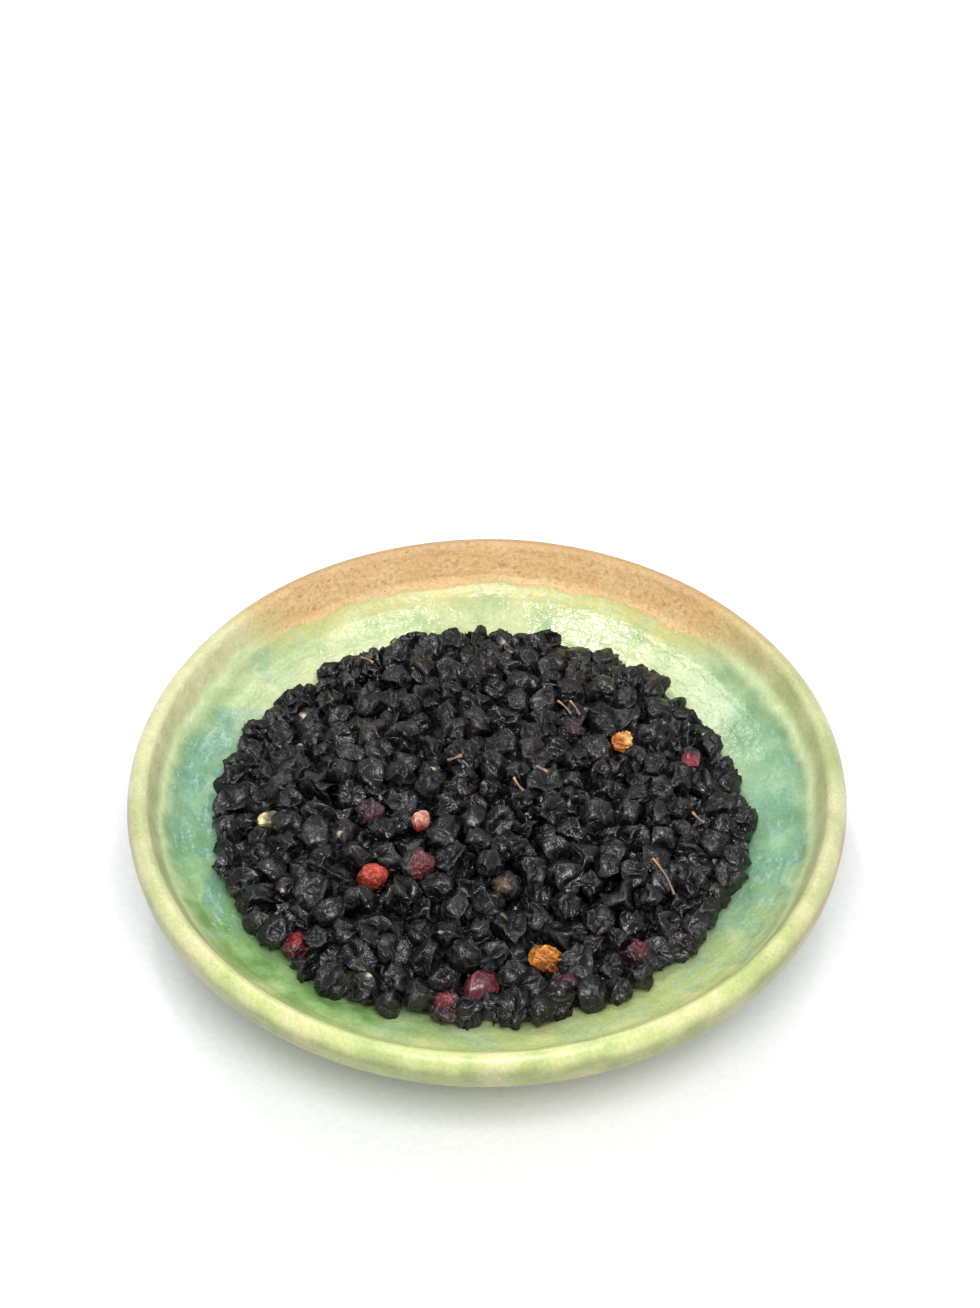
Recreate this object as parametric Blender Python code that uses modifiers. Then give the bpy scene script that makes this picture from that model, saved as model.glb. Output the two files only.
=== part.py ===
"""A small glazed earthenware dish with a heap of dried elderberries in it.

The dish is turned about Z and stands on its foot ring at z = 0, with its axis at the origin.
The heap is worked out by letting some 850 round berries push one another apart between the
well of the dish and a low dome. Berries and stalk bits that lie open on top are objects of
their own, and all the rest of the heap is one closed solid with pockets under them.

Lengths are in millimetres and become metres when a mesh is made.
"""

import math

import bmesh
import bpy
import numpy as np
from mathutils import Matrix, Vector, noise

MM = 0.001

# Dish
DISH_RADIUS = 55.0
DISH_HEIGHT = 25.0
LIP_RADIUS = 1.5
WELL_FLOOR = 8.2
WELL_RADIUS = 50.2
WELL_DEPTH = 11.0
WELL_POWER = 1.8
FOOT_OUTER = 27.2
FOOT_INNER = 23.8
FOOT_RECESS = 2.8
TURN_STEPS = 48
WELL_STEPS = 8
LIP_STEPS = 6

# Heap
HEAP_CENTRE = np.array([-0.8, -0.5])
HEAP_REACH = np.array([41.6, 40.2])
HEAP_RIM = 18.9
HEAP_CROWN = 8.9
HEAP_SEED = 20
BERRY_COUNT = 880
BERRY_MEAN = 4.3
BERRY_SPREAD = 0.38
BERRY_LIMITS = (3.4, 5.5)
BERRY_TOUCH = 0.97
SETTLE_ROUNDS = 420
SETTLE_PUSH = 0.35
SETTLE_FALL = 0.006
NEIGHBOUR_ROUNDS = 12
NEIGHBOUR_REACH = 1.5
DOME_UNEVEN = 0.7
OUTLINE_UNEVEN = (0.97, 1.01)
EDGE_LIFT = 0.9
OPEN_TOPS = 18
OPEN_TOPS_WITHIN = 0.8
HEAP_TRIANGLES = 6000
OUTLINE_STEPS = 180
OUTLINE_INSET = 0.6
HEAP_EDGE = 0.7
FILLER_DEPTH = 2.9
POCKET_GAP = 1.15
NOTCH_GAP = 1.7
NOTCH_WITHIN = 0.72
UNDER_SINGLES = 2.2
DENT_SCALE = 2.6
DENT_DEPTH = 0.14
TOP_FLATNESS = 0.92
TOP_TURN = 40
GAP = 0.34
STALK_CLEARANCE = 0.1

# Berries and seeds that stand out: name, x, y, length, width, turn in degrees, colour
ODD_BERRIES = (
    ("berry_scarlet", -17.2, -17.2, 4.9, 3.8, 15, "#B3261A"),
    ("berry_mauve", -10.4, -15.4, 5.3, 5.0, 40, "#5E2A33"),
    ("berry_crimson", -28.4, -26.7, 4.7, 4.0, 60, "#6A1420"),
    ("berry_rose", -0.9, -35.2, 5.6, 4.8, 35, "#7A3038"),
    ("berry_garnet", -6.2, -38.6, 5.0, 4.3, 80, "#5A1A24"),
    ("berry_orange", 8.6, -31.1, 4.9, 4.3, 160, "#B5601C"),
    ("berry_plum", 11.6, -35.0, 3.7, 3.5, 0, "#5B1B28"),
    ("berry_wine", 21.9, -28.6, 5.2, 3.9, 5, "#4A1620"),
    ("berry_maroon", 31.4, 9.2, 4.4, 3.8, 85, "#5A1722"),
    ("berry_tan", 21.0, 10.3, 3.5, 3.0, 20, "#A9713A"),
    ("berry_brown", 3.1, -19.7, 4.8, 4.5, 10, "#2E211E"),
    ("berry_purple", -17.8, -5.4, 4.5, 4.3, 0, "#3A1A28"),
    ("berry_violet", 13.1, 11.5, 4.4, 4.1, 30, "#2F1B28"),
    ("seed_pink", -10.0, -8.4, 3.4, 2.6, 75, "#D79A8C"),
    ("seed_olive", -33.2, -4.0, 3.4, 2.6, 10, "#8C8455"),
)

# Black berries along the far edge of the heap, standing up clear of their neighbours: x, y, size
EDGE_BERRIES = (
    (-1.4, 36.6, 5.5),
    (-8.8, 34.7, 4.7),
    (-13.8, 33.9, 4.8),
    (-21.2, 29.6, 4.9),
    (-28.8, 23.5, 4.7),
    (8.0, 34.4, 4.9),
    (21.5, 26.9, 4.9),
    (25.5, 24.0, 4.6),
)

# Stalk bits: name, start x and y, end x and y, thickness
STALKS = (
    ("stalk_long", 24.9, -14.6, 28.0, -19.8, 0.62),
    ("stalk_fork_left", 11.0, 15.6, 13.0, 13.9, 0.60),
    ("stalk_fork_right", 12.9, 16.0, 14.4, 14.0, 0.60),
    ("stalk_crown", 4.1, -2.2, 5.5, -4.6, 0.70),
    ("stalk_chip", 7.6, 0.8, 9.2, -0.5, 0.80),
    ("stalk_left", -19.9, 29.5, -18.0, 27.6, 0.70),
    ("stalk_back", -5.9, 3.0, -3.9, 2.3, 0.80),
    ("stalk_right", 31.3, -4.6, 33.0, -6.4, 0.70),
)

GLAZE_COLOUR = "#9CC67C"
BERRY_COLOUR = "#1B1A1D"
STALK_COLOUR = "#A08468"


def linear(hex_colour):
    """The linear RGBA of an sRGB hex colour."""
    values = [int(hex_colour[i : i + 2], 16) / 255 for i in (1, 3, 5)]
    return [v / 12.92 if v <= 0.04045 else ((v + 0.055) / 1.055) ** 2.4 for v in values] + [1.0]


def clear_scene():
    for obj in list(bpy.data.objects):
        bpy.data.objects.remove(obj)


def new_collection(name):
    collection = bpy.data.collections.new(name)
    bpy.context.scene.collection.children.link(collection)
    return collection


def new_material(name, hex_colour, roughness):
    material = bpy.data.materials.new(name)
    material.use_nodes = True
    shader = material.node_tree.nodes["Principled BSDF"]
    shader.inputs["Base Color"].default_value = linear(hex_colour)
    shader.inputs["Roughness"].default_value = roughness
    shader.inputs["Metallic"].default_value = 0.0
    return material


def new_object(name, mesh, collection, material=None):
    obj = bpy.data.objects.new(name, mesh)
    collection.objects.link(obj)
    if material:
        mesh.materials.append(material)
    return obj


# The dish


def well_height(radius):
    return WELL_FLOOR + WELL_DEPTH * (radius / WELL_RADIUS) ** WELL_POWER


def well_slope(radius):
    return WELL_DEPTH * WELL_POWER / WELL_RADIUS * (radius / WELL_RADIUS) ** (WELL_POWER - 1)


def rounded(points, steps):
    """A smooth curve through the points, as a list of points with so many steps between two."""
    ends = [2 * points[0] - points[1], *points, 2 * points[-1] - points[-2]]
    curve = []
    for a, b, c, d in zip(ends, ends[1:], ends[2:], ends[3:]):
        for step in range(steps):
            t = step / steps
            curve.append(
                0.5 * (2 * b + (c - a) * t + (2 * a - 5 * b + 4 * c - d) * t**2)
                + 0.5 * (3 * b - a - 3 * c + d) * t**3
            )
    return curve + [points[-1]]


def lip_arc(start_degrees, end_degrees):
    """Points along the lip's round edge, between two angles from +X."""
    centre = Vector((DISH_RADIUS - LIP_RADIUS, DISH_HEIGHT - LIP_RADIUS))
    turn = math.radians(end_degrees - start_degrees)
    start = math.radians(start_degrees)
    angles = [start + turn * i / LIP_STEPS for i in range(LIP_STEPS + 1)]
    return [centre + LIP_RADIUS * Vector((math.cos(a), math.sin(a))) for a in angles]


def dish_profile():
    """Half the dish's section, from the lip down the outside, under the foot and up the well."""
    belly = [
        Vector((DISH_RADIUS - 0.1, DISH_HEIGHT - 3.2)),
        Vector((DISH_RADIUS - 1.3, DISH_HEIGHT - 6.4)),
        Vector((48.2, 14.6)),
        Vector((37.5, 9.0)),
        Vector((FOOT_OUTER + 2.0, 4.9)),
    ]
    foot = [
        Vector((FOOT_OUTER, 3.4)),
        Vector((FOOT_OUTER - 0.2, 0.5)),
        Vector((FOOT_OUTER - 0.7, 0.0)),
        Vector((FOOT_INNER + 0.7, 0.0)),
        Vector((FOOT_INNER + 0.2, 0.5)),
        Vector((FOOT_INNER - 0.4, FOOT_RECESS - 0.3)),
        Vector((FOOT_INNER - 2.4, FOOT_RECESS)),
        Vector((0.0, FOOT_RECESS)),
    ]
    radii = [WELL_RADIUS * i / WELL_STEPS for i in range(WELL_STEPS + 1)]
    well = [Vector((radius, well_height(radius))) for radius in radii]
    rim_wall = [Vector((WELL_RADIUS + 1.1, DISH_HEIGHT - 4.1))]
    return lip_arc(90, 0) + rounded(belly, 2) + foot + well + rim_wall + lip_arc(180, 90)[:-1]


def make_dish(collection):
    points = dish_profile()
    mesh = bpy.data.meshes.new("dish")
    last_under = next(i for i, p in enumerate(points) if p.x == 0.0)
    edges = [(i, (i + 1) % len(points)) for i in range(len(points)) if i != last_under]
    mesh.from_pydata([(p.x * MM, 0.0, p.y * MM) for p in points], edges, [])
    dish = new_object("dish", mesh, collection, new_material("glazed_earthenware", GLAZE_COLOUR, 0.25))
    turn = dish.modifiers.new("turn", "SCREW")
    turn.steps = turn.render_steps = TURN_STEPS
    turn.use_merge_vertices = True
    turn.merge_threshold = 0.00001
    turn.use_smooth_shade = True
    return dish


# The heap


def dome_height(places):
    """Height of the low dome that the heap's top follows, at places given as rows of x and y."""
    inward = 1 - (((places - HEAP_CENTRE) / HEAP_REACH) ** 2).sum(axis=1)
    return HEAP_RIM + HEAP_CROWN * inward


def pinned_berries():
    """Centres and radii of the berries whose places are given by hand."""
    rows = [(x, y, (length + width) / 4) for _, x, y, length, width, _, _ in ODD_BERRIES]
    rows += [(x, y, size / 2) for x, y, size in EDGE_BERRIES]
    table = np.array(rows)
    radii = table[:, 2]
    lift = np.where(np.arange(len(rows)) < len(ODD_BERRIES), 0.0, EDGE_LIFT)
    heights = dome_height(table[:, :2]) - radii + lift
    on_dish = np.hypot(table[:, 0], table[:, 1])
    lowest = well_height(on_dish) + (radii + GAP) * np.hypot(1, well_slope(on_dish))
    return np.column_stack([table[:, :2], np.maximum(heights, lowest)]), radii


def push_apart(centres, radii, pairs, free):
    """Moves free berries out of one another, half the overlap at a time."""
    first, second = pairs
    apart = centres[first] - centres[second]
    distance = np.maximum(np.sqrt((apart**2).sum(axis=1)), 1e-6)
    overlap = np.maximum(BERRY_TOUCH * (radii[first] + radii[second]) - distance, 0)
    push = apart * (SETTLE_PUSH * overlap / distance)[:, None]
    for axis in range(3):
        shift = np.bincount(first, push[:, axis], len(radii))
        shift -= np.bincount(second, push[:, axis], len(radii))
        centres[free, axis] += shift[free]


def keep_in_heap(centres, radii, free, ceiling, reach):
    """Holds free berries under the dome, inside the heap's outline and out of the dish."""
    places = centres[:, :2]
    top = dome_height(places) + ceiling - radii
    centres[free, 2] = np.minimum(centres[free, 2], top[free])
    outward = np.sqrt((((places - HEAP_CENTRE) / (HEAP_REACH - radii[:, None])) ** 2).sum(axis=1))
    outward /= reach
    pull = np.where(free & (outward > 1), outward, 1.0)[:, None]
    centres[:, :2] = HEAP_CENTRE + (places - HEAP_CENTRE) / pull
    radius = np.maximum(np.hypot(centres[:, 0], centres[:, 1]), 1e-6)
    slope = well_slope(radius)
    steep = np.hypot(1, slope)
    sunk = np.where(free, np.maximum(radii + GAP - (centres[:, 2] - well_height(radius)) / steep, 0), 0)
    centres[:, 2] += sunk / steep
    centres[:, :2] -= centres[:, :2] * (sunk * slope / steep / radius)[:, None]


def settle_berries():
    """Centres and radii of all the berries, the pinned ones first."""
    rng = np.random.default_rng(HEAP_SEED)
    pinned, pinned_radii = pinned_berries()
    sizes = np.clip(rng.normal(BERRY_MEAN, BERRY_SPREAD, BERRY_COUNT), *BERRY_LIMITS)
    angle = rng.uniform(0, 2 * np.pi, BERRY_COUNT)
    outward = np.sqrt(rng.uniform(0, 1, BERRY_COUNT) ** 1.25)
    places = HEAP_CENTRE + (HEAP_REACH - 2) * np.column_stack(
        [outward * np.cos(angle), outward * np.sin(angle)]
    )
    low = well_height(np.hypot(places[:, 0], places[:, 1])) + 2
    heights = low + rng.uniform(0, 1, BERRY_COUNT) * np.maximum(dome_height(places) - 2 - low, 0)
    centres = np.vstack([pinned, np.column_stack([places, heights])])
    radii = np.concatenate([pinned_radii, sizes / 2])
    free = np.arange(len(radii)) >= len(pinned)
    ceiling = rng.uniform(-DOME_UNEVEN, DOME_UNEVEN, len(radii))
    reach = rng.uniform(*OUTLINE_UNEVEN, len(radii))
    for step in range(SETTLE_ROUNDS):
        if step % NEIGHBOUR_ROUNDS == 0:
            spread = np.sqrt(((centres[:, None] - centres[None]) ** 2).sum(axis=2))
            near = np.triu(spread < radii[:, None] + radii[None] + NEIGHBOUR_REACH, 1)
            pairs = np.nonzero(near)
        push_apart(centres, radii, pairs, free)
        centres[free, 2] -= SETTLE_FALL
        keep_in_heap(centres, radii, free, ceiling, reach)
        # Rounding keeps the heap the same on every computer.
        centres = np.round(centres, 6)
    return centres, radii


def berry_tops(places, centres, radii, grow=0.0):
    """The height of the berries' tops at each place, or -inf where no berry lies under it."""
    apart = ((places[:, None] - centres[None, :, :2]) ** 2).sum(axis=2)
    rise = (radii + grow) ** 2 - apart
    height = np.where(rise > 0, centres[:, 2] + np.sqrt(np.maximum(rise, 0)), -np.inf)
    return height.max(axis=1)


def pick_open_tops(centres, radii, taken):
    """Indices of open top berries, spread evenly over the heap and away from the pinned ones."""
    tops = centres[:, 2] + radii
    is_open = berry_tops(centres[:, :2], centres, radii) <= tops + 1e-6
    inside = (((centres[:, :2] - HEAP_CENTRE) / HEAP_REACH) ** 2).sum(axis=1) < OPEN_TOPS_WITHIN
    lifted = height_over_well(centres, radii) > UNDER_SINGLES
    candidates = [i for i in np.nonzero(is_open & inside & lifted)[0] if i >= taken]
    chosen = list(range(taken))
    for _ in range(OPEN_TOPS):
        room = [np.hypot(*(centres[chosen, :2] - centres[i, :2]).T).min() for i in candidates]
        chosen.append(candidates[int(np.argmax(room))])
    return chosen[taken:]


def crossings(rays, centres, radii):
    """Where level rays from the heap's centre enter and leave circles, or NaN where they miss."""
    level = centres[:, :2] - HEAP_CENTRE
    along = rays @ level.T
    across = rays[:, :1] * level[:, 1] - rays[:, 1:] * level[:, 0]
    half = np.sqrt(np.where(np.abs(across) < radii, radii**2 - across**2, np.nan))
    return along - half, along + half


def heap_outline(directions, packed, packed_radii, low_singles, low_radii):
    """How far the heap reaches from its centre in each level direction.

    It follows the outermost berries, evened out a little, and is notched round single berries
    that lie on the dish at its edge.
    """
    angles = np.linspace(0, 2 * np.pi, OUTLINE_STEPS, endpoint=False)
    rays = np.column_stack([np.cos(angles), np.sin(angles)])
    reach = np.nanmax(crossings(rays, packed, packed_radii)[1], axis=1)
    reach = sum(np.roll(reach, shift) for shift in range(-2, 3)) / 5 - OUTLINE_INSET
    entry = crossings(rays, low_singles, low_radii + NOTCH_GAP)[0]
    entry = np.where(entry > 0, entry, np.inf)
    reach = np.minimum(reach, np.nanmin(np.column_stack([entry, reach]), axis=1))
    return np.interp(np.arctan2(directions[:, 1], directions[:, 0]), angles, reach, period=2 * np.pi)


def height_over_well(centres, radii):
    """The clear distance between each berry and the dish under it."""
    radius = np.hypot(centres[:, 0], centres[:, 1])
    return (centres[:, 2] - well_height(radius)) / np.hypot(1, well_slope(radius)) - radii


def lower_for_singles(top, places, centres, sizes):
    """Presses a round pocket into the heap's top under each single berry."""
    for centre, (length, _) in zip(centres, sizes):
        radius = length / 2 + POCKET_GAP
        apart = ((places - centre[:2]) ** 2).sum(axis=1)
        pocket = centre[2] - np.sqrt(np.maximum(radius**2 - apart, 0))
        top = np.where(apart < radius**2, np.minimum(top, pocket), top)
    return top


def make_heap(collection, packed, packed_radii, singles, sizes):
    """The packed berries as one solid: a ball mapped onto their tops, above, and the well, below."""
    ball = bmesh.new()
    bmesh.ops.create_icosphere(ball, subdivisions=6, radius=1.0)
    points = np.array([v.co for v in ball.verts])
    level = np.hypot(points[:, 0], points[:, 1])
    directions = points[:, :2] / np.maximum(level, 1e-9)[:, None]
    single_radii = np.array([length / 2 for length, _ in sizes])
    low = height_over_well(singles, single_radii) < UNDER_SINGLES
    reach = heap_outline(directions, packed, packed_radii, singles[low], single_radii[low])
    spread = np.sqrt(1 - np.abs(points[:, 2]))
    inner = np.minimum(spread, NOTCH_WITHIN) * HEAP_REACH.mean()
    outer = np.maximum(spread - NOTCH_WITHIN, 0) / (1 - NOTCH_WITHIN)
    outward = inner + outer * (reach - NOTCH_WITHIN * HEAP_REACH.mean())
    places = HEAP_CENTRE + directions * outward[:, None]
    radius = np.hypot(places[:, 0], places[:, 1])
    floor = well_height(radius) + GAP * np.hypot(1, well_slope(radius))
    filler = np.maximum(dome_height(places) - FILLER_DEPTH, floor + HEAP_EDGE)
    top = np.maximum(berry_tops(places, packed, packed_radii), filler)
    top = lower_for_singles(top, places, singles, sizes)
    top = np.maximum(top, floor + HEAP_EDGE)
    height = np.where(points[:, 2] > -1e-4, top, floor)
    for vert, place, z in zip(ball.verts, places, height):
        vert.co = Vector((place[0], place[1], z)) * MM
    mesh = bpy.data.meshes.new("packed_berries")
    ball.to_mesh(mesh)
    ball.free()
    material = new_material("dried_elderberry", BERRY_COLOUR, 0.55)
    heap = new_object("packed_berries", mesh, collection, material)
    thin = heap.modifiers.new("thin", "DECIMATE")
    thin.ratio = HEAP_TRIANGLES / len(mesh.polygons)
    return heap


# Single berries and stalk bits


def make_berry(name, centre, size, turn, colour, seed, collection):
    """A shrunken berry: a ball drawn to length and width, with flats and hollows pressed into it."""
    length, width = size
    bm = bmesh.new()
    bmesh.ops.create_icosphere(bm, subdivisions=2, radius=0.5 * MM)
    offset = Vector((7.3 * seed, 1.7 * seed, 3.1 * seed))
    for vert in bm.verts:
        vert.co *= 1 - DENT_DEPTH * abs(noise.noise(vert.co / MM * DENT_SCALE + offset))
    half = max(v.co.length for v in bm.verts)
    fit = 0.5 * MM / half
    stretch = Matrix.Diagonal((length * fit, width * fit, width * fit, 1))
    bmesh.ops.transform(bm, matrix=stretch, verts=bm.verts)
    mesh = bpy.data.meshes.new(name)
    bm.to_mesh(mesh)
    bm.free()
    mesh.shade_smooth()
    berry = new_object(name, mesh, collection, new_material(name + "_skin", colour, 0.5))
    berry.location = Vector(centre) * MM
    berry.rotation_euler = (0, 0, math.radians(turn))
    return berry


def make_stalk(name, start, end, thickness, centres, radii, collection, material):
    """A broken bit of stalk, resting just clear of the highest berries under it."""
    steps = np.linspace(0, 1, 9)[:, None]
    places = np.array(start) * (1 - steps) + np.array(end) * steps
    rest = berry_tops(places, centres, radii, GAP + thickness / 2 + STALK_CLEARANCE)
    rest = np.maximum(rest, dome_height(places) - FILLER_DEPTH + GAP + thickness)
    line = rest[0] + (rest[-1] - rest[0]) * steps[:, 0]
    line += max(0, (rest - line).max())
    curve = bpy.data.curves.new(name, "CURVE")
    curve.dimensions = "3D"
    curve.bevel_depth = thickness / 2 * MM
    curve.bevel_resolution = 1
    curve.use_fill_caps = True
    spline = curve.splines.new("POLY")
    spline.points.add(4)
    for point, i in zip(spline.points, (0, 2, 4, 6, 8)):
        point.co = (places[i, 0] * MM, places[i, 1] * MM, line[i] * MM, 1)
    curve.materials.append(material)
    stalk = bpy.data.objects.new(name, curve)
    collection.objects.link(stalk)


def main():
    clear_scene()
    collection = new_collection("dish_of_dried_elderberries")
    make_dish(collection)
    centres, radii = settle_berries()
    singles = [
        (name, (length, width), turn, colour) for name, _, _, length, width, turn, colour in ODD_BERRIES
    ]
    for number, (_, _, size) in enumerate(EDGE_BERRIES, 1):
        singles.append((f"berry_edge_{number}", (size, size), 0, BERRY_COLOUR))
    owners = list(range(len(singles))) + pick_open_tops(centres, radii, len(singles))
    for number, i in enumerate(owners[len(singles) :], 1):
        size = 2 * radii[i]
        singles.append((f"berry_top_{number}", (size, size * TOP_FLATNESS), TOP_TURN * number, BERRY_COLOUR))
    for i, (name, size, turn, colour) in zip(owners, singles):
        make_berry(name, centres[i], size, turn, colour, i, collection)
    packed = np.setdiff1d(np.arange(len(radii)), owners)
    sizes = [size for _, size, _, _ in singles]
    make_heap(collection, centres[packed], radii[packed], centres[owners], sizes)
    stalk_material = new_material("dry_stalk", STALK_COLOUR, 0.7)
    for name, x0, y0, x1, y1, thickness in STALKS:
        make_stalk(name, (x0, y0), (x1, y1), thickness, centres, radii, collection, stalk_material)


main()
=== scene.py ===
"""Finish of a small glazed earthenware dish with a heap of dried elderberries in it.

The dish is turned again in fine mesh, with the thrower's unevenness, and glazed by position: leaf
green and turquoise in the well, cream on the lip, bare clay on the far rim. The heap's solid is
replaced by loose berries: they settle round the single berries of the frame, and each gets one of
a set of shrunken shapes. Lengths are in millimetres until a mesh is made.
"""

import math

import bmesh
import bpy
import numpy as np
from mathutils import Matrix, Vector, noise


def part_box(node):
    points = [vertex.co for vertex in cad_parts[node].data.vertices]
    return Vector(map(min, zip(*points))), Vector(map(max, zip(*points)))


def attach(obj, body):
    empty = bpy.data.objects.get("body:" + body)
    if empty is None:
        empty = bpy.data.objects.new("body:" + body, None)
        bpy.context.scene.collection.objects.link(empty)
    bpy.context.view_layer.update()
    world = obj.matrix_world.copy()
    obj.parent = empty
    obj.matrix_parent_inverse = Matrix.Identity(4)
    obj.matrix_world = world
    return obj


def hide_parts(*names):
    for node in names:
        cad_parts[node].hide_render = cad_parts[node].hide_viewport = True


MM = 0.001
PER_MM = 1000.0

# Dish, as its section is drawn
CROWN_INSET = 2.2
LIP_DROP = 2.8
CREASE_RADIUS = 49.5
WELL_FLOOR = 8.2
WELL_RADIUS = 50.2
WELL_DEPTH = 11.0
WELL_POWER = 1.8
FOOT_OUTER = 27.2
FOOT_INNER = 23.8
FOOT_RECESS = 2.8
TURN_STEPS = 280
WELL_ROWS = 72
LIP_SPACING = 0.35
BELLY_SPACING = 0.6
FOOT_SPACING = 0.5

# The thrower's unevenness: slow waves, finger rings and a rim that isn't quite round
WAVE_LENGTH = 26.0
WAVE_LIFT = 0.16
RING_RADIANS_PER_MM = 2.05
RING_LIFT = 0.035
RIM_WAVE_LENGTH = 38.0
RIM_OUT_OF_ROUND = 0.22
RIM_FROM_RADIUS = 50.0
RIM_FROM_HEIGHT = 6.0

# Heap
HEAP_RIM = 18.9
HEAP_CROWN = 8.9
HEAP_CENTRE = np.array([-1.0, -1.4])
HEAP_REACH = np.array([42.8, 42.2])
LOOSE_BERRIES = 670
BERRY_MEAN = 5.15
BERRY_SPREAD = 0.65
BERRY_LIMITS = (3.7, 6.4)
BERRY_TOUCH = 0.97
SETTLE_ROUNDS = 420
SETTLE_PUSH = 0.35
SETTLE_FALL = 0.006
NEIGHBOUR_GAP = 1.5
NEIGHBOUR_ROUNDS = 12
CEILING_RANGE = (-1.2, 0.8)
REACH_RANGE = (0.93, 1.01)
SHADOW_SHARE = 0.72
SECTORS = 10
SEED = 7

# Berry meshes
SHAPES = 60
BALL_SUBDIVISIONS = 6
BURIED_SUBDIVISIONS = 2
LOOSE_TRIANGLES = 1250
SINGLE_TRIANGLES = 1600
ODD_TRIANGLES = 4000

# How far a drawn berry swells past its settled ball or its node, and the room kept round odd ones
BERRY_SWELL = 1.24
SINGLE_SWELL = 1.1
ODD_SWELL = 1.17
ODD_CLEARANCE = 1.3

# Shrinking, as shares of the radius: waves that bend the cells (how tight and how strong), how near
# the centre a flat lies, how unevenly dents sink, and how deep the fine parallel folds are
BALL_BENDS = ((2.1, 0.24), (4.6, 0.12), (9.0, 0.05))
FLAT_REACH = (0.72, 0.94)
DENT_SINK = (0.4, 1.4)
COMB_DEPTH = 0.07

# Berry looks
BLACK_GLOSS = (0.04, 0.2)
BURIED_GLOSS = 0.4
SCAR_SHARE = 0.2
SCAR_REACH = 0.993
SCAR_COLOUR = "#C8BBA6"
# Grey added on the berries' folds: partly rubbed bloom, partly a painted highlight
BLACK_FOLD_BLOOM_AND_HIGHLIGHT = 0.016
ODD_FOLD_BLOOM_AND_HIGHLIGHT = 0.05

# Stalks
STALK_RINGS = 26
STALK_SIDES = 10
STALK_BEND = 0.12
STALK_COLOUR = "#857068"
STALK_TIP = "#B8875C"

# Camera
CAMERA_DISTANCE = 600.0
RIM_TO_AIM = 1.5
CAMERA_ELEVATION = 47.5
CAMERA_PITCH = 45.534
CAMERA_YAW = -0.066
CAMERA_LENS = 108.0

# Tent, as radiance, and the paper's glow, from one distance in metres to another
TENT_HORIZON = 1.0
TENT_SIDES = 0.4
TENT_TOP = 0.75
SWEEP_GLOW = 0.6
SWEEP_GLOW_FROM = 0.5
SWEEP_GLOW_FULL = 1.6
FLOOR_REACH = 12.0
PAPER_FIBRES_PER_MM = 0.9

# Lamps: place and size in metres, watts, turn about the vertical and lean toward the back, in degrees
LAMPS = {
    "ceiling_lamp_right": ((0.160, 0.172, 0.90), (0.045, 0.115), 0.52, -30, 0),
    "ceiling_lamp_left": ((-0.165, 0.184, 0.90), (0.055, 0.13), 1.0, 17, 0),
    "softbox_left": ((-0.36, 0.42, 0.90), (0.20, 0.34), 1.3, 25, 0),
    "softbox_right": ((0.33, 0.36, 0.90), (0.16, 0.26), 0.4, -25, 0),
    "softbox_front": ((0.06, -0.62, 1.05), (0.70, 0.44), 13.5, 0, 30),
}


def rgb(hex_colour):
    """The linear RGBA of an sRGB hex colour."""
    values = [int(hex_colour[i : i + 2], 16) / 255 for i in (1, 3, 5)]
    return [v / 12.92 if v <= 0.04045 else ((v + 0.055) / 1.055) ** 2.4 for v in values] + [1.0]


def add(tree, kind, inputs=None, **settings):
    """Adds a shader node, sets its options, fills its inputs and gives its first live output.

    An input takes a value, or another node's output to be linked to.
    """
    node = tree.nodes.new("ShaderNode" + kind)
    for name, value in settings.items():
        setattr(node, name, value)
    for key, value in (inputs or {}).items():
        if isinstance(value, bpy.types.NodeSocket):
            tree.links.new(value, node.inputs[key])
        else:
            node.inputs[key].default_value = value
    return next(output for output in node.outputs if output.enabled)


def set_stops(ramp_colour, stops):
    """Gives a colour ramp its stops, as positions with a hex colour or a grey value."""
    ramp = ramp_colour.node.color_ramp
    while len(ramp.elements) > 1:
        ramp.elements.remove(ramp.elements[-1])
    for index, (position, colour) in enumerate(stops):
        element = ramp.elements[0] if index == 0 else ramp.elements.new(position)
        element.position = position
        element.color = rgb(colour) if isinstance(colour, str) else [colour, colour, colour, 1]
    return ramp_colour


def start_material(name, **shader_values):
    """A material with its Principled shader's fixed values set, and places on the object in mm."""
    material = bpy.data.materials.new(name)
    material.use_nodes = True
    tree = material.node_tree
    shader = tree.nodes["Principled BSDF"]
    for key, value in shader_values.items():
        shader.inputs[key.replace("_", " ")].default_value = value
    place = add(tree, "TexCoord").node.outputs["Object"]
    in_mm = add(tree, "VectorMath", {0: place, "Scale": PER_MM}, operation="SCALE")
    return material, tree, shader, in_mm


def mesh_from(name, points, faces, material):
    """A smooth mesh object from points in millimetres."""
    mesh = bpy.data.meshes.new(name)
    mesh.from_pydata((np.asarray(points) * MM).tolist(), [], np.asarray(faces).tolist())
    mesh.materials.append(material)
    mesh.shade_smooth()
    obj = bpy.data.objects.new(name, mesh)
    bpy.context.scene.collection.objects.link(obj)
    return obj


def face_outward(mesh):
    """Turns a closed mesh's faces to point out of it."""
    bm = bmesh.new()
    bm.from_mesh(mesh)
    bmesh.ops.recalc_face_normals(bm, faces=bm.faces)
    bm.to_mesh(mesh)
    bm.free()


# Earthenware: thick gloss glaze over buff clay

# Cloudy noises: size in mm, detail, and a shift that keeps them unlike one another
CLOUDS = {
    "patchy": (6.0, 4.0, (4, 9, 2)),
    "mottle": (2.0, 5.0, (1, 5, 8)),
    "grain": (0.5, 2.0, (3, 1, 6)),
    "pooling": (9.0, 3.0, (7, 7, 1)),
    "clay_specks": (0.7, 4.0, (5, 5, 5)),
    "orange_peel": (0.9, 3.0, (8, 3, 1)),
}

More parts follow.
